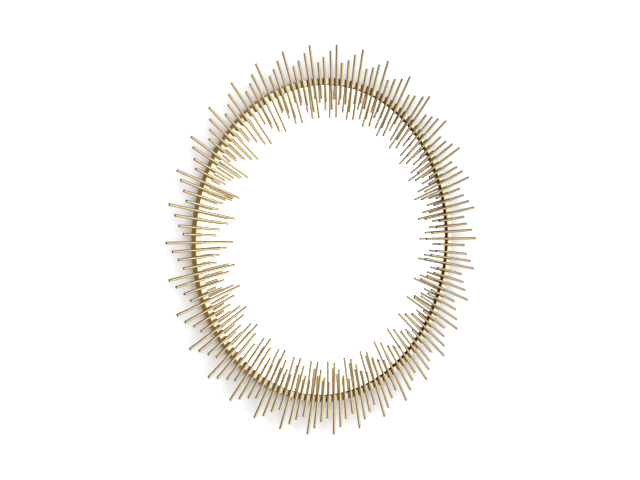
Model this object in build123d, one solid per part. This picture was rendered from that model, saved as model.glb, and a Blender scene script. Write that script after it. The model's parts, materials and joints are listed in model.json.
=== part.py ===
from build123d import *
import math
import os
import random

os.makedirs("parts", exist_ok=True)

# Round wall mirror in a sunburst frame of short radial tubes.
# Millimetres. The wall is the plane y = 0, the mirror faces -Y and +Z is up.
# The origin is on the wall, behind the centre of the mirror.
# Angles are in degrees in the XZ plane, from +X towards +Z.

# Hoop: rectangular tube rolled into a ring.
HOOP_RADIUS = 372.5
HOOP_WIDTH = 14.0
HOOP_DEPTH = 18.0
HOOP_WALL = 1.2
HOOP_EDGE_RADIUS = 0.6

# Rays: open tubes that cross the front of the hoop, one every 2.5 degrees.
TUBE_DIAMETER = 6.0
TUBE_WALL = 0.6
TUBE_RISE = 6.0
CLUSTER_COUNT = 36
LONG_REACH = (287.0, 457.0)
SHORT_REACH = (332.0, 416.8)
MEDIUM_REACH = (322.5, 427.1)
TALL_REACH = (304.2, 441.7)
CLUSTER_REACHES = [LONG_REACH, SHORT_REACH, MEDIUM_REACH, TALL_REACH]
CLUSTER_PITCH = 360.0 / CLUSTER_COUNT
TUBE_PITCH = CLUSTER_PITCH / len(CLUSTER_REACHES)
# The tubes are set by hand: small errors in direction and in place along it.
ANGLE_SCATTER = 0.16
SLIDE_SCATTER = 1.1
SCATTER_LIMIT = 2.0
SCATTER_SEED = 36

# Saddles: small blocks on the hoop's front, each with a cradle that a tube lies in.
SADDLE_WIDTH = 6.4
SADDLE_HEIGHT = 4.5
SADDLE_LENGTH = HOOP_WIDTH - 2 * HOOP_EDGE_RADIUS

# What fills the hoop, from the front: stop ring, glass, foam tape, board. The tubes cross in
# front of the glass, so everything but the brazed stop ring goes in from behind.
GLASS_RECESS = 6.6
GLASS_THICKNESS = 4.0
GLASS_EDGE_CHAMFER = 0.5
FILL_CLEARANCE = 0.6
STOP_WIDTH = 2.0
STOP_THICKNESS = 1.2
TAPE_WIDTH = 20.0
TAPE_THICKNESS = 1.4

# Rubber bumpers hold the back of the hoop off the wall.
BUMPER_HEIGHT = 5.0
BUMPER_DIAMETER = 13.0
BUMPER_EDGE_RADIUS = 1.5
BUMPER_ANGLES = [45, 135, 225, 315]

# Turn buttons: flat steel fingers that swing on a screw in the back of the hoop.
BUTTON_ANGLES = [0, 60, 120, 180, 240, 300]
BUTTON_PIVOT_RADIUS = HOOP_RADIUS
BUTTON_LENGTH = 20.0
BUTTON_ROOT_RADIUS = 5.5
BUTTON_TIP_RADIUS = 4.0
BUTTON_THICKNESS = 1.2
BUTTON_HOLE_RADIUS = 2.0

# Self-tapping pan-head screws.
SCREW_RADIUS = 1.95
SCREW_LENGTH = 9.5
SCREW_HEAD_RADIUS = 3.75
SCREW_HEAD_HEIGHT = 2.2
SCREW_HEAD_CROWN = 1.0
RECESS_LENGTH = 4.4
RECESS_WIDTH = 1.0
RECESS_DEPTH = 1.3
PILOT_RADIUS = 1.7
HEAD_GAP = 0.1

# Hangers: a strap with a rolled knuckle, in which a D ring swings.
HANGER_ANGLES = [30, 150]
HANGER_RADIUS = HOOP_RADIUS
STRAP_WIDTH = 12.0
STRAP_THICKNESS = 1.0
STRAP_LENGTH = 43.0
STRAP_CORNER = 3.0
STRAP_SCREWS = [27.0, 37.5]
STRAP_MIDDLE = 21.0
STRAP_HOLE_RADIUS = 2.15
KNUCKLE_INNER = 1.3
KNUCKLE_WIDTH = 10.0
KNUCKLE_HEIGHT = 2.6
RING_WIRE_RADIUS = 1.2
RING_HALF_WIDTH = 8.0
RING_LEG = 12.0
RING_CORNER = 3.0

# Places along Y, from the wall forwards.
hoop_back = -BUMPER_HEIGHT
hoop_front = hoop_back - HOOP_DEPTH
tube_axis = hoop_front - TUBE_RISE
glass_front = hoop_front + GLASS_RECESS
glass_back = glass_front + GLASS_THICKNESS
tape_back = glass_back + TAPE_THICKNESS
board_thickness = hoop_back - tape_back
hoop_inner = HOOP_RADIUS - HOOP_WIDTH / 2
hoop_outer = HOOP_RADIUS + HOOP_WIDTH / 2
fill_radius = hoop_inner - FILL_CLEARANCE


def facing_wall(y, x=0.0, z=0.0, along=(1, 0, 0)):
    """A plane parallel to the wall whose normal points to the wall."""
    return Plane(origin=(x, y, z), x_dir=along, z_dir=(0, 1, 0))


def on_circle(radius, angle):
    """X and Z of a point on a circle about the mirror's axis."""
    turn = math.radians(angle)
    return radius * math.cos(turn), radius * math.sin(turn)


def ring(inner, outer, front, back):
    """A flat ring about the mirror's axis, from y = front to y = back."""
    section = Circle(outer) - Circle(inner) if inner else Circle(outer)
    return extrude(facing_wall(front) * section, back - front)


def save(shape, name):
    export_step(shape, f"parts/{name}.step")


def outwards(angle):
    """The direction away from the mirror's axis."""
    turn = math.radians(angle)
    return (math.cos(turn), 0, math.sin(turn))


def across_ray(angle, radius):
    """A plane square to a ray at its own height, whose normal points outwards."""
    x, z = on_circle(radius, angle)
    return Plane(origin=(x, tube_axis, z), x_dir=(0, 1, 0), z_dir=outwards(angle))


def ray(angle, inner, outer):
    """One open tube that points away from the mirror's axis."""
    section = Circle(TUBE_DIAMETER / 2) - Circle(TUBE_DIAMETER / 2 - TUBE_WALL)
    return extrude(across_ray(angle, inner) * section, outer - inner)


def saddle(angle):
    """A block that stands on the hoop under a tube and holds its lower half."""
    x, z = on_circle(HOOP_RADIUS, angle)
    foot = Plane(origin=(x, hoop_front, z), x_dir=outwards(angle), z_dir=(0, -1, 0))
    block = extrude(foot * Rectangle(SADDLE_LENGTH, SADDLE_WIDTH), SADDLE_HEIGHT)
    start = across_ray(angle, HOOP_RADIUS - SADDLE_LENGTH)
    return block - extrude(start * Circle(TUBE_DIAMETER / 2), 2 * SADDLE_LENGTH)


def cluster_places(number, scatter):
    """Angle, inner end and outer end of a cluster's four tubes, clockwise from the long one."""
    places = []
    for place, (inner, outer) in enumerate(CLUSTER_REACHES):
        angle = 90 - number * CLUSTER_PITCH - place * TUBE_PITCH
        turned = scatter(ANGLE_SCATTER)
        slid = scatter(SLIDE_SCATTER)
        if place == 0 and angle % 90 == 0:
            turned, slid = 0.0, 0.0
        places.append((angle + turned, inner + slid, outer + slid))
    return places


def screw_places():
    """X and Z of every screw: those of the turn buttons, then those of the hangers."""
    buttons = [on_circle(BUTTON_PIVOT_RADIUS, angle) for angle in BUTTON_ANGLES]
    hangers = []
    for angle in HANGER_ANGLES:
        for down in STRAP_SCREWS:
            place = hanger_plane(angle).from_local_coords((-down, 0, 0))
            hangers.append((place.X, place.Z))
    return buttons, hangers


def hanger_plane(angle):
    """The hanger's own plane on the back of the hoop: x up along the hoop from the knuckle's axis."""
    turn = math.radians(angle)
    side = math.copysign(1, math.cos(turn))
    up = (-side * math.sin(turn), 0, side * math.cos(turn))
    x, z = on_circle(HANGER_RADIUS, angle)
    return facing_wall(hoop_back, x + up[0] * STRAP_MIDDLE, z + up[2] * STRAP_MIDDLE, up)


def hoop(places):
    """The tube ring with the pilot holes of its screws through the back wall."""
    body = ring(hoop_inner, hoop_outer, hoop_front, hoop_back)
    body = fillet(body.edges(), HOOP_EDGE_RADIUS)
    cavity = ring(
        hoop_inner + HOOP_WALL,
        hoop_outer - HOOP_WALL,
        hoop_front + HOOP_WALL,
        hoop_back - HOOP_WALL,
    )
    body -= cavity
    for x, z in places:
        start = facing_wall(hoop_back - 2 * HOOP_WALL, x, z)
        body -= extrude(start * Circle(PILOT_RADIUS), 3 * HOOP_WALL)
    return body


def mirror_glass():
    pane = ring(0, fill_radius, glass_front, glass_back)
    return chamfer(pane.edges().filter_by(GeomType.CIRCLE), GLASS_EDGE_CHAMFER)


def screw(x, z, seat):
    """A screw whose head stands on the plane y = seat."""
    head = extrude(facing_wall(seat, x, z) * Circle(SCREW_HEAD_RADIUS), SCREW_HEAD_HEIGHT)
    head = fillet(head.edges().sort_by(Axis.Y)[-1], SCREW_HEAD_CROWN)
    floor = facing_wall(seat + SCREW_HEAD_HEIGHT - RECESS_DEPTH, x, z)
    cross = Rectangle(RECESS_LENGTH, RECESS_WIDTH) + Rectangle(RECESS_WIDTH, RECESS_LENGTH)
    head -= extrude(floor * cross, RECESS_DEPTH)
    tip = facing_wall(seat - SCREW_LENGTH, x, z)
    shank = extrude(tip * Circle(SCREW_RADIUS), SCREW_LENGTH)
    point = chamfer(shank.edges().sort_by(Axis.Y)[0], SCREW_RADIUS / 2)
    return head + point


def turn_button(angle):
    """A finger that points at the mirror's axis, so that its tip holds the board."""
    x, z = on_circle(BUTTON_PIVOT_RADIUS, angle)
    base = facing_wall(hoop_back, x, z, outwards(angle + 180))
    ends = Circle(BUTTON_ROOT_RADIUS) + Pos(BUTTON_LENGTH, 0) * Circle(BUTTON_TIP_RADIUS)
    outline = make_hull(ends.edges()) - Circle(BUTTON_HOLE_RADIUS)
    return extrude(base * outline, BUTTON_THICKNESS)


def hanger_strap(angle):
    """A plate with two screw holes, rolled into a knuckle at its upper end."""
    plane = hanger_plane(angle)
    plate = Pos(-STRAP_LENGTH / 2, 0) * RectangleRounded(STRAP_LENGTH, STRAP_WIDTH, STRAP_CORNER)
    for down in STRAP_SCREWS:
        plate -= Pos(-down, 0) * Circle(STRAP_HOLE_RADIUS)
    knuckle_outer = KNUCKLE_INNER + STRAP_THICKNESS
    # The knuckle's plane: its normal lies across the strap.
    across = Plane(origin=(0, KNUCKLE_WIDTH / 2, 0), x_dir=(1, 0, 0), z_dir=(0, -1, 0))
    barrel = Pos(0, KNUCKLE_HEIGHT) * Circle(knuckle_outer)
    bore = Pos(0, KNUCKLE_HEIGHT) * Circle(KNUCKLE_INNER)
    strap = extrude(plate, STRAP_THICKNESS) + extrude(across * barrel, KNUCKLE_WIDTH)
    strap -= extrude(across * bore, KNUCKLE_WIDTH)
    return plane * strap


def d_ring(angle):
    """A closed wire loop that hangs from the knuckle and lies flat over the strap."""
    half, leg, corner = RING_HALF_WIDTH, RING_LEG, RING_CORNER
    bar = Line((0, half - corner), (0, corner - half))
    left_corner = TangentArc((0, corner - half), (-corner, -half), tangent=(0, -1))
    left_leg = Line((-corner, -half), (-leg, -half))
    bow = TangentArc((-leg, -half), (-leg, half), tangent=(-1, 0))
    right_leg = Line((-leg, half), (-corner, half))
    right_corner = TangentArc((-corner, half), (0, half - corner), tangent=(1, 0))
    path = Wire([bar, left_corner, left_leg, bow, right_leg, right_corner])
    start = Plane(origin=(0, half - corner, 0), x_dir=(1, 0, 0), z_dir=(0, -1, 0))
    loop = sweep(start * Circle(RING_WIRE_RADIUS), path=path)
    return hanger_plane(angle) * (Pos(0, 0, KNUCKLE_HEIGHT) * loop)


def wall_bumper(angle):
    x, z = on_circle(HOOP_RADIUS, angle)
    pad = extrude(facing_wall(hoop_back, x, z) * Circle(BUMPER_DIAMETER / 2), BUMPER_HEIGHT)
    return fillet(pad.edges().sort_by(Axis.Y)[-1], BUMPER_EDGE_RADIUS)


# The frame.
chance = random.Random(SCATTER_SEED)


def scatter(spread):
    """A hand-setting error, never more than a fixed multiple of its spread."""
    error = chance.gauss(0, spread)
    return max(-SCATTER_LIMIT * spread, min(SCATTER_LIMIT * spread, error))


saddles = []
for number in range(CLUSTER_COUNT):
    places = cluster_places(number, scatter)
    tubes = [ray(*place) for place in places]
    save(Compound(children=tubes), f"ray_cluster_{number + 1:02d}")
    saddles += [saddle(angle) for angle, inner, outer in places]
save(Compound(children=saddles), "tube_saddles")

button_places, hanger_places = screw_places()
save(hoop(button_places + hanger_places), "hoop_frame")
stop_front = glass_front - STOP_THICKNESS
save(ring(hoop_inner - STOP_WIDTH, hoop_inner, stop_front, glass_front), "mirror_stop")

# What fills the hoop.
save(mirror_glass(), "mirror_glass")
save(ring(fill_radius - TAPE_WIDTH, fill_radius, glass_back, tape_back), "foam_tape")
save(ring(0, fill_radius, tape_back, tape_back + board_thickness), "backing_board")

# What holds the board in.
for number, angle in enumerate(BUTTON_ANGLES, start=1):
    save(turn_button(angle), f"turn_button_{number}")
button_seat = hoop_back + BUTTON_THICKNESS + HEAD_GAP
button_screws = [screw(x, z, button_seat) for x, z in button_places]
save(Compound(children=button_screws), "button_screws")

# What hangs it.
for side, angle in zip(("right", "left"), HANGER_ANGLES):
    save(hanger_strap(angle), f"hanger_strap_{side}")
    save(d_ring(angle), f"d_ring_{side}")
hanger_screws = [screw(x, z, hoop_back + STRAP_THICKNESS) for x, z in hanger_places]
save(Compound(children=hanger_screws), "hanger_screws")
for number, angle in enumerate(BUMPER_ANGLES, start=1):
    save(wall_bumper(angle), f"wall_bumper_{number}")
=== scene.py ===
import json
import math

import bmesh
import bpy
from mathutils import Matrix, Vector


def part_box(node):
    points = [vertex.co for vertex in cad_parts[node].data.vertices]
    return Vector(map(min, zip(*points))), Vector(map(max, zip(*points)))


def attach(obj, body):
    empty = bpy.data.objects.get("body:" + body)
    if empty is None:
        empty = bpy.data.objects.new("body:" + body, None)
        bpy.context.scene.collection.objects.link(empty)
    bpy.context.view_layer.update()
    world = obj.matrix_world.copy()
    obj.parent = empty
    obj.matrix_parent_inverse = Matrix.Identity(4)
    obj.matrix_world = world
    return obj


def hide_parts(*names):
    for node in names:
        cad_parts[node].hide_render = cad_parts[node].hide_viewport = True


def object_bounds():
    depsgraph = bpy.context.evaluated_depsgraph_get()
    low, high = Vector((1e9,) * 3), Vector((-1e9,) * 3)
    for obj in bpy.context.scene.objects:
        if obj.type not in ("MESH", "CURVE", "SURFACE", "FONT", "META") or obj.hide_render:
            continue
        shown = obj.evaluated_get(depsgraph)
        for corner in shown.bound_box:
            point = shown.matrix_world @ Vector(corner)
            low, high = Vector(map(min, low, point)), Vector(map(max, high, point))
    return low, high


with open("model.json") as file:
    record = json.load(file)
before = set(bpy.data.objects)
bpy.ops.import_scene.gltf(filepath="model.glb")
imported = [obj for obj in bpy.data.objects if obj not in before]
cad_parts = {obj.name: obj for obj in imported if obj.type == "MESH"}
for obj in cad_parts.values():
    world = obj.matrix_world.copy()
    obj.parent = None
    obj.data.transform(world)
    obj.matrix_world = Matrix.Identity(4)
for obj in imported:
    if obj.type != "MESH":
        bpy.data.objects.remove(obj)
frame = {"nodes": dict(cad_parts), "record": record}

cad_low, cad_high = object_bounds()

# The mirror faces -Y, the wall is y = 0 and +Z is up. Metres.
MM = 0.001
NODES = frame["nodes"]
SCENE = bpy.context.scene

# Camera: the side it stands on, its height and roll in degrees, its distance, its lens in millimetres,
# and the point it looks at, measured from the middle of the sunburst in the plane of the tubes' axes.
CAMERA_AZIMUTH = -37.4
CAMERA_ELEVATION = 1.663
CAMERA_ROLL = 0.395
CAMERA_DISTANCE = 2.9455
CAMERA_LENS = 71.3
CAMERA_AIM = Vector((-0.0447, 0.0010, 0.0015))

# Tubes of the sunburst and the hoop that carries them: faces round each, the radius of each rounded
# edge, faces across that radius, and how far in from it each flat has its extra points.
TUBE_SIDES = 40
LIP_RADIUS = 0.18 * MM
HOOP_SIDES = 480
HOOP_EDGE = 0.6 * MM
CORNER_STEPS = 3
FLAT_MARGIN = 0.3 * MM
WELD_DISTANCE = 1e-6

# The hoop's plate changes from its front colour, a pale cream that is painted reflection of a bright room,
# to its side colour, a darker bronze that is painted shade, between these values of the normal's Y, which
# is -1 on the flat front.
FRONT_ENDS = -0.95
SIDE_STARTS = -0.6
# The front's low metallic lets the lamps light its pale cream, which is painted reflection.
FRONT_METALLIC = 0.18
# The mirror's part that is not metallic is a pale diffuse layer, painted reflection of the glass's front
# surface.
GLASS_METALLIC = 0.86

# Stage: the wall just behind the bumpers, and the floor in front of it. The glow is even light.
WALL_GAP = 0.2 * MM
WALL_HALF_WIDTH = 6.0
WALL_TOP = 4.0
WALL_COLOR, WALL_GLOW = (0.9, 0.9, 0.9, 1), 0.0
FLOOR_Z = -1.15
FLOOR_DEPTH = 8.0
FLOOR_COLOR, FLOOR_GLOW = (0.12, 0.12, 0.12, 1), 0.72

# What the metal and the mirror see: an even dim room, brighter to the front and below, with a
# window opposite the camera's mirror image and a paler room behind the wall. Each bright patch has
# an axis, the angles from that axis where it starts and where it is full, and its level.
ROOM_LEVEL = 0.13
GLOW = ((0.1, -0.8, -0.5), 90, 20, 0.3)
WINDOW = ((0.42, -0.905, -0.05), 30, 8, 2.0)
REAR = ((0, 1, 0), 90, 40, 0.3)
BACKGROUND_LEVEL = 0.95

# Softboxes: name, place, length of each side, and power in watts. All point at the origin.
SOFTBOXES = [
    ("softbox_right", (2.6, -1.5, 1.3), 2.4, 24.0),
    ("softbox_front", (0.1, -3.0, 0.7), 4.5, 70.0),
    ("softbox_left", (-2.0, -2.0, 1.2), 2.4, 45.0),
    ("softbox_back", (-1.4, 2.2, 1.2), 1.6, 40.0),
]


# ---------------------------------------------------------------- materials

def new_material(name):
    """A node material with an empty tree, and that tree."""
    material = bpy.data.materials.new(name)
    material.use_nodes = True
    tree = material.node_tree
    tree.nodes.clear()
    return material, tree


def add(tree, kind, inputs=None, **settings):
    """Adds a node, sets its properties, and links or sets its inputs."""
    node = tree.nodes.new(kind)
    for key, value in settings.items():
        setattr(node, key, value)
    for key, value in (inputs or {}).items():
        if isinstance(value, bpy.types.NodeSocket):
            tree.links.new(value, node.inputs[key])
        else:
            node.inputs[key].default_value = value
    return node


def math_node(tree, operation, *values):
    """The result of one sum on sockets or numbers."""
    node = add(tree, "ShaderNodeMath", dict(enumerate(values)), operation=operation)
    return node.outputs[0]


def mix_color(tree, factor, first, second):
    """A blend from the first colour to the second."""
    node = add(tree, "ShaderNodeMix", data_type="RGBA")
    for socket, value in zip((node.inputs[0], node.inputs[6], node.inputs[7]), (factor, first, second)):
        if isinstance(value, bpy.types.NodeSocket):
            tree.links.new(value, socket)
        else:
            socket.default_value = value
    return node.outputs[2]


def ramp(tree, value, low, high, out_low=0.0, out_high=1.0):
    """Maps value from low..high to out_low..out_high, smoothly and clamped."""
    inputs = {0: value, 1: low, 2: high, 3: out_low, 4: out_high}
    node = add(tree, "ShaderNodeMapRange", inputs, interpolation_type="SMOOTHSTEP")
    return node.outputs[0]


def noise(tree, vector, scale, detail=2.0, roughness=0.5):
    """Smooth noise from 0 to 1."""
    inputs = {"Vector": vector, "Scale": scale, "Detail": detail, "Roughness": roughness}
    return add(tree, "ShaderNodeTexNoise", inputs).outputs["Fac"]


def object_point(tree):
    return add(tree, "ShaderNodeTexCoord").outputs["Object"]


def polar_point(tree, along, around, through):
    """Object coordinates bent round the mirror's axis: radius, arc and depth, each with its own scale."""
    parts = add(tree, "ShaderNodeSeparateXYZ", {0: object_point(tree)}).outputs
    squared = math_node(tree, "ADD", math_node(tree, "MULTIPLY", parts["X"], parts["X"]),
                        math_node(tree, "MULTIPLY", parts["Z"], parts["Z"]))
    radius = math_node(tree, "SQRT", squared)
    angle = math_node(tree, "ARCTAN2", parts["Z"], parts["X"])
    inputs = {
        "X": math_node(tree, "MULTIPLY", radius, along),
        "Y": math_node(tree, "MULTIPLY", angle, around),
        "Z": math_node(tree, "MULTIPLY", parts["Y"], through),
    }
    return add(tree, "ShaderNodeCombineXYZ", inputs).outputs[0]


def finish_material(tree, color, roughness, height=None, strength=0.1, distance=0.0002, **shader):
    """Principled shader with a colour, a roughness and a bump; other sockets are set by name."""
    inputs = {"Base Color": color, "Roughness": roughness}
    inputs.update({key.replace("_", " "): value for key, value in shader.items()})
    if height is not None:
        bump = add(tree, "ShaderNodeBump", {"Strength": strength, "Distance": distance, "Height": height})
        inputs["Normal"] = bump.outputs[0]
    principled = add(tree, "ShaderNodeBsdfPrincipled", inputs)
    add(tree, "ShaderNodeOutputMaterial", {"Surface": principled.outputs[0]})


def satin_brass():
    """Brushed brass plate of the tubes: streaks run along each tube."""
    material, tree = new_material("satin_brass")
    streaks = noise(tree, polar_point(tree, 60.0, 1500.0, 4000.0), 1.0, 3.0, 0.6)
    clouds = noise(tree, object_point(tree), 14.0, 3.0)
    color = mix_color(tree, ramp(tree, clouds, 0.3, 0.7), (0.74, 0.56, 0.29, 1), (0.80, 0.63, 0.36, 1))
    roughness = ramp(tree, streaks, 0.2, 0.8, 0.20, 0.30)
    finish_material(tree, color, roughness, streaks, 0.06, Metallic=1.0)
    return material


def painted_shade_bore():
    """Cut ends and inside of the tubes: dull near-black brass, painted shade in the hollow bores and on
    the ends.
    """
    material, tree = new_material("painted_shade_bore")
    shade_mottle = noise(tree, object_point(tree), 400.0, 3.0)
    shade_mottle_mask = ramp(tree, shade_mottle, 0.3, 0.7)
    # Near-black colours: painted shade in the bores and on the ends.
    color = mix_color(tree, shade_mottle_mask, (0.030, 0.014, 0.006, 1), (0.060, 0.030, 0.013, 1))
    finish_material(tree, color, ramp(tree, shade_mottle, 0.3, 0.7, 0.5, 0.7), shade_mottle, 0.2, Metallic=1.0)
    return material


def polished_brass():
    """Hoop plate: pale cream on the flat front, painted reflection, and darker bronze round the sides and
    back, painted shade.
    """
    material, tree = new_material("polished_brass")
    normal = add(tree, "ShaderNodeTexCoord").outputs["Normal"]
    facing = add(tree, "ShaderNodeSeparateXYZ", {0: normal}).outputs["Y"]
    side = ramp(tree, facing, FRONT_ENDS, SIDE_STARTS)
    streaks = noise(tree, polar_point(tree, 3000.0, 40.0, 3000.0), 1.0, 3.0, 0.6)
    clouds = noise(tree, object_point(tree), 9.0, 3.0)
    # The pale cream front is painted reflection; the darker bronze of the sides and back is painted shade.
    painted_reflection_front_color = mix_color(tree, clouds, (0.97, 0.84, 0.57, 1), (1.0, 0.89, 0.64, 1))
    painted_shade_side_color = mix_color(tree, clouds, (0.46, 0.25, 0.05, 1), (0.54, 0.31, 0.08, 1))
    color = mix_color(tree, side, painted_reflection_front_color, painted_shade_side_color)
    metallic = ramp(tree, side, 0.0, 1.0, FRONT_METALLIC, 1.0)
    roughness = ramp(tree, streaks, 0.2, 0.8, 0.28, 0.36)
    finish_material(tree, color, roughness, streaks, 0.04, Metallic=metallic)
    return material


def shaded_brass():
    """Saddles under the tubes and the stop inside the hoop: near-black brass, painted shade where the
    tubes and the hoop shade them, with a random mottle.
    """
    material, tree = new_material("shaded_brass")
    shade_mottle = noise(tree, object_point(tree), 220.0, 3.0)
    shade_mottle_mask = ramp(tree, shade_mottle, 0.3, 0.7)
    # Near-black colours: painted shade.
    color = mix_color(tree, shade_mottle_mask, (0.085, 0.032, 0.004, 1), (0.15, 0.062, 0.010, 1))
    finish_material(tree, color, ramp(tree, shade_mottle, 0.3, 0.7, 0.35, 0.5), shade_mottle, 0.1, Metallic=1.0)
    return material


def silvered_glass():
    """Mirror: silver with a faint pale diffuse layer, painted reflection of the glass's front surface."""
    material, tree = new_material("silvered_glass")
    ripple = noise(tree, object_point(tree), 3.0, 1.0)
    color = mix_color(tree, ripple, (0.93, 0.945, 0.94, 1), (0.945, 0.955, 0.95, 1))
    finish_material(tree, color, ramp(tree, ripple, 0.3, 0.7, 0.010, 0.016), Metallic=GLASS_METALLIC)
    return material


def white_foam():
    """Mounting tape with a fine cell grain."""
    material, tree = new_material("white_foam")
    cells = noise(tree, object_point(tree), 900.0, 2.0)
    color = mix_color(tree, cells, (0.80, 0.80, 0.78, 1), (0.90, 0.90, 0.88, 1))
    finish_material(tree, color, ramp(tree, cells, 0.3, 0.7, 0.7, 0.85), cells, 0.3)
    return material


def fibreboard():
    """Brown hardboard: long pale fibres over a mottled ground, with dark flecks."""
    material, tree = new_material("fibreboard")
    point = object_point(tree)
    mottle = noise(tree, point, 30.0, 5.0, 0.6)
    drawn_out = add(tree, "ShaderNodeVectorMath", {0: point, 1: (60.0, 1.0, 420.0)}, operation="MULTIPLY")
    fibres = noise(tree, drawn_out.outputs[0], 3.0, 4.0, 0.7)
    flecks = noise(tree, point, 700.0, 2.0, 0.6)
    ground = mix_color(tree, ramp(tree, mottle, 0.3, 0.7), (0.38, 0.25, 0.14, 1), (0.44, 0.30, 0.17, 1))
    fibred = mix_color(tree, ramp(tree, fibres, 0.52, 0.8, 0.0, 0.7), ground, (0.60, 0.45, 0.29, 1))
    color = mix_color(tree, ramp(tree, flecks, 0.62, 0.78, 0.0, 0.6), fibred, (0.17, 0.10, 0.05, 1))
    finish_material(tree, color, ramp(tree, fibres, 0.2, 0.8, 0.62, 0.8), fibres, 0.25)
    return material


def zinc_steel():
    """Zinc plate with a faint spangle."""
    material, tree = new_material("zinc_steel")
    point = object_point(tree)
    spangle = add(tree, "ShaderNodeTexVoronoi", {"Vector": point, "Scale": 600.0}).outputs["Color"]
    grey = add(tree, "ShaderNodeRGBToBW", {0: spangle}).outputs[0]
    tint = noise(tree, point, 60.0, 2.0)
    base = mix_color(tree, tint, (0.62, 0.63, 0.66, 1), (0.70, 0.68, 0.60, 1))
    color = mix_color(tree, math_node(tree, "MULTIPLY", grey, 0.18), base, (0.85, 0.86, 0.88, 1))
    finish_material(tree, color, ramp(tree, grey, 0.0, 1.0, 0.28, 0.42), grey, 0.05, Metallic=1.0)
    return material


def soft_rubber():
    """Dark rubber of the wall bumpers."""
    material, tree = new_material("soft_rubber")
    grain = noise(tree, object_point(tree), 1200.0, 2.0)
    color = mix_color(tree, grain, (0.035, 0.035, 0.036, 1), (0.06, 0.06, 0.06, 1))
    finish_material(tree, color, ramp(tree, grain, 0.3, 0.7, 0.5, 0.65), grain, 0.15)
    return material


# The record's material slots.
SLOT_MATERIALS = {
    "satin_brass": satin_brass(),
    "polished_brass": polished_brass(),
    "mirror": silvered_glass(),
    "foam": white_foam(),
    "fibreboard": fibreboard(),
    "zinc_steel": zinc_steel(),
    "clear_rubber": soft_rubber(),
}
BORE_MATERIAL = painted_shade_bore()
SHADED_MATERIAL = shaded_brass()


def dress(piece, material):
    """Gives a CAD node one material all over."""
    piece.data.materials.clear()
    piece.data.materials.append(material)


for part in frame["record"]["subparts"]:
    dress(NODES[part["node"]], SLOT_MATERIALS[part["material_slot"]])
# The saddles and the stop take the near-black painted shade.
for shaded_node in ("tube_saddles", "mirror_stop"):
    dress(NODES[shaded_node], SHADED_MATERIAL)


# ---------------------------------------------------------------- the sunburst

def islands(mesh):
    """The vertex positions of each separate solid in a mesh."""
    bm = bmesh.new()
    bm.from_mesh(mesh)
    bmesh.ops.remove_doubles(bm, verts=bm.verts, dist=WELD_DISTANCE)
    unseen = set(bm.verts)
    found = []
    while unseen:
        to_visit = [unseen.pop()]
        island = []
        while to_visit:
            vert = to_visit.pop()
            island.append(vert.co.copy())
            for edge in vert.link_edges:
                other = edge.other_vert(vert)
                if other in unseen:
                    unseen.remove(other)
                    to_visit.append(other)
        found.append(island)
    bm.free()
    return found


def tube_place(points):
    """A tube's direction, where it starts and ends along it, its two radii, and the depth of its axis."""
    middle = sum(points, Vector()) / len(points)
    direction = Vector((middle.x, 0, middle.z)).normalized()
    along = [point.dot(direction) for point in points]
    centre = Vector((0, middle.y, 0))
    off_axis = [(point - centre - direction * reach).length for point, reach in zip(points, along)]
    return direction, min(along), max(along), min(off_axis), max(off_axis), middle.y


def revolve(bm, profile, place, sides, bore=0.0):
    """Turns a closed outline of (radius, height) about the local Z axis of place.

    Faces that lie within the bore radius get the second material.
    """
    rings = []
    for radius, height in profile:
        ring = []
        for step in range(sides):
            turn = math.tau * step / sides
            local = Vector((radius * math.cos(turn), radius * math.sin(turn), height))
            ring.append(bm.verts.new(place @ local))
        rings.append(ring)
    radii = [radius for radius, height in profile]
    for index, ring in enumerate(rings):
        following = rings[(index + 1) % len(rings)]
        inside = max(radii[index], radii[(index + 1) % len(rings)]) < bore
        for step in range(sides):
            after = (step + 1) % sides
            face = bm.faces.new((ring[step], ring[after], following[after], following[step]))
            face.smooth = True
            face.material_index = 1 if inside else 0


def rounded_outline(inner, outer, start, end, radius):
    """A rectangle with rounded corners, as (radius, height) points.

    Each flat has a point near both its ends, unless it is too short for that.
    """
    centres = [(outer, end, -1, -1), (inner, end, 1, -1), (inner, start, 1, 1), (outer, start, -1, 1)]
    margin = radius + FLAT_MARGIN
    outline = []
    for quarter, (across, along, inwards, down) in enumerate(centres):
        corner = []
        for step in range(CORNER_STEPS + 1):
            turn = math.radians(90 * (quarter + step / CORNER_STEPS))
            corner.append((
                across + radius * (inwards + math.cos(turn)),
                along + radius * (down + math.sin(turn)),
            ))
        on_wall = (across, along + down * margin)
        on_end = (across + inwards * margin, along)
        if outer - inner < 2 * margin:
            outline += [on_wall] + corner if quarter % 2 == 0 else corner + [on_wall]
        else:
            outline += [on_wall] + corner + [on_end] if quarter % 2 == 0 else [on_end] + corner + [on_wall]
    return outline


def add_piece(name, bm, slot, replaced, inside=None, body="root"):
    """Turns a bmesh into a piece that rides on a body. Inside is the second material, if it has one."""
    bmesh.ops.recalc_face_normals(bm, faces=bm.faces)
    mesh = bpy.data.meshes.new(name)
    mesh.materials.append(SLOT_MATERIALS[slot])
    if inside:
        mesh.materials.append(inside)
    bm.to_mesh(mesh)
    bm.free()
    piece = bpy.data.objects.new(name, mesh)
    SCENE.collection.objects.link(piece)
    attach(piece, body)
    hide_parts(*replaced)


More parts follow.
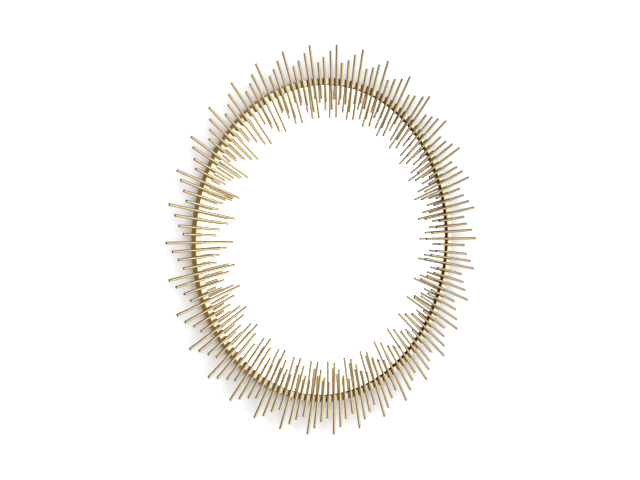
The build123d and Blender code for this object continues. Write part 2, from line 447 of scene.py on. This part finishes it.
def build_rays():
    """One piece for each cluster: its tubes with rounded lips and bores darkened with painted shade."""
    for node in sorted(name for name in NODES if name.startswith("ray_cluster_")):
        bm = bmesh.new()
        for points in islands(NODES[node].data):
            direction, start, end, inner, outer, tube_y = tube_place(points)
            side = Vector((0, 1, 0)).cross(direction)
            place = Matrix((side, Vector((0, 1, 0)), direction)).transposed().to_4x4()
            place.translation = Vector((0, tube_y, 0))
            outline = rounded_outline(inner, outer, start, end, LIP_RADIUS)
            revolve(bm, outline, place, TUBE_SIDES, bore=outer - LIP_RADIUS / 2)
        name = node.replace("ray_cluster", "rays")
        add_piece(name, bm, "satin_brass", (node,), BORE_MATERIAL)


def build_hoop():
    """The hoop with softened edges, finely enough turned for its polish."""
    low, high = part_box("hoop_frame")
    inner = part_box("mirror_stop")[1].x
    outline = rounded_outline(inner, high.x, low.y, high.y, HOOP_EDGE)
    # The outline's heights run along +Y.
    place = Matrix(((1, 0, 0), (0, 0, 1), (0, -1, 0))).to_4x4()
    bm = bmesh.new()
    revolve(bm, outline, place, HOOP_SIDES)
    add_piece("hoop", bm, "polished_brass", ("hoop_frame",))


build_rays()
build_hoop()


# ---------------------------------------------------------------- camera, stage and light

def add_camera():
    """The photograph's viewpoint."""
    azimuth, elevation = math.radians(CAMERA_AZIMUTH), math.radians(CAMERA_ELEVATION)
    back = Vector((
        math.sin(azimuth) * math.cos(elevation),
        -math.cos(azimuth) * math.cos(elevation),
        math.sin(elevation),
    ))
    right = Vector((0, 0, 1)).cross(back).normalized()
    up = back.cross(right)
    roll = math.radians(CAMERA_ROLL)
    tilted_right = right * math.cos(roll) + up * math.sin(roll)
    tilted_up = up * math.cos(roll) - right * math.sin(roll)
    tubes_low, tubes_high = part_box("ray_cluster_01")
    aim = CAMERA_AIM + Vector((0, (tubes_low.y + tubes_high.y) / 2, 0))
    data = bpy.data.cameras.new("camera")
    data.lens = CAMERA_LENS
    camera = bpy.data.objects.new("camera", data)
    SCENE.collection.objects.link(camera)
    turned = Matrix((tilted_right, tilted_up, back)).transposed().to_4x4()
    camera.matrix_world = Matrix.Translation(aim + back * CAMERA_DISTANCE) @ turned
    SCENE.camera = camera


def stage_plane(name, corners, material):
    """A flat backdrop that only the camera sees: it takes shadows but neither throws nor reflects any."""
    mesh = bpy.data.meshes.new(name)
    mesh.from_pydata(corners, [], [tuple(range(len(corners)))])
    plane = bpy.data.objects.new(name, mesh)
    SCENE.collection.objects.link(plane)
    plane.data.materials.append(material)
    plane.visible_diffuse = False
    plane.visible_glossy = False
    plane.visible_transmission = False
    plane.visible_shadow = False


def stage_material(name, color, glow, one_sided):
    """Matt paint with an even glow, which a one-sided plane shows only from its front."""
    material, tree = new_material(name)
    paint = add(tree, "ShaderNodeBsdfDiffuse", {"Color": color}).outputs[0]
    light = add(tree, "ShaderNodeEmission", {"Strength": glow}).outputs[0]
    paint = add(tree, "ShaderNodeAddShader", {0: paint, 1: light}).outputs[0]
    if one_sided:
        behind = add(tree, "ShaderNodeNewGeometry").outputs["Backfacing"]
        clear = add(tree, "ShaderNodeBsdfTransparent").outputs[0]
        paint = add(tree, "ShaderNodeMixShader", {0: behind, 1: paint, 2: clear}).outputs[0]
    add(tree, "ShaderNodeOutputMaterial", {"Surface": paint})
    return material


def add_stage():
    """The wall, which is clear from behind, and the floor."""
    wall_y = cad_high.y + WALL_GAP
    wall = [
        (-WALL_HALF_WIDTH, wall_y, FLOOR_Z), (WALL_HALF_WIDTH, wall_y, FLOOR_Z),
        (WALL_HALF_WIDTH, wall_y, WALL_TOP), (-WALL_HALF_WIDTH, wall_y, WALL_TOP),
    ]
    floor = [
        (-WALL_HALF_WIDTH, -FLOOR_DEPTH, FLOOR_Z), (WALL_HALF_WIDTH, -FLOOR_DEPTH, FLOOR_Z),
        (WALL_HALF_WIDTH, wall_y, FLOOR_Z), (-WALL_HALF_WIDTH, wall_y, FLOOR_Z),
    ]
    wall_paint = stage_material("wall_paint", WALL_COLOR, WALL_GLOW, one_sided=True)
    stage_plane("stage_wall", wall, wall_paint)
    floor_paint = stage_material("floor_paint", FLOOR_COLOR, FLOOR_GLOW, one_sided=False)
    stage_plane("stage_floor", floor, floor_paint)


def add_softbox(name, place, side, power):
    """A square area light that doesn't show in the polished metal or the mirror."""
    data = bpy.data.lights.new(name, "AREA")
    data.shape = "RECTANGLE"
    data.size = data.size_y = side
    data.energy = power
    light = bpy.data.objects.new(name, data)
    SCENE.collection.objects.link(light)
    light.location = place
    light.rotation_euler = (-Vector(place)).to_track_quat("-Z", "Y").to_euler()
    light.visible_camera = False
    light.visible_glossy = False


def add_world():
    """The studio round the mirror, and an even pale background where the camera looks past the stage."""
    world = bpy.data.worlds.new("studio")
    world.use_nodes = True
    tree = world.node_tree
    tree.nodes.clear()
    direction = add(tree, "ShaderNodeTexCoord").outputs["Generated"]

    level = ROOM_LEVEL
    for axis, start, full, strength in (GLOW, WINDOW, REAR):
        inputs = {0: direction, 1: Vector(axis).normalized()}
        aimed = add(tree, "ShaderNodeVectorMath", inputs, operation="DOT_PRODUCT").outputs["Value"]
        low, high = math.cos(math.radians(start)), math.cos(math.radians(full))
        level = math_node(tree, "ADD", level, ramp(tree, aimed, low, high, 0.0, strength))
    seen = add(tree, "ShaderNodeLightPath").outputs["Is Camera Ray"]
    inputs = {0: seen, 2: level, 3: BACKGROUND_LEVEL}
    strength = add(tree, "ShaderNodeMix", inputs, data_type="FLOAT").outputs[0]
    shader = add(tree, "ShaderNodeBackground", {"Color": (1, 1, 1, 1), "Strength": strength})
    add(tree, "ShaderNodeOutputWorld", {"Surface": shader.outputs[0]})
    SCENE.world = world


add_camera()
add_stage()
add_world()
for softbox in SOFTBOXES:
    add_softbox(*softbox)
SCENE.view_settings.view_transform = "Standard"
SCENE.view_settings.look = "None"
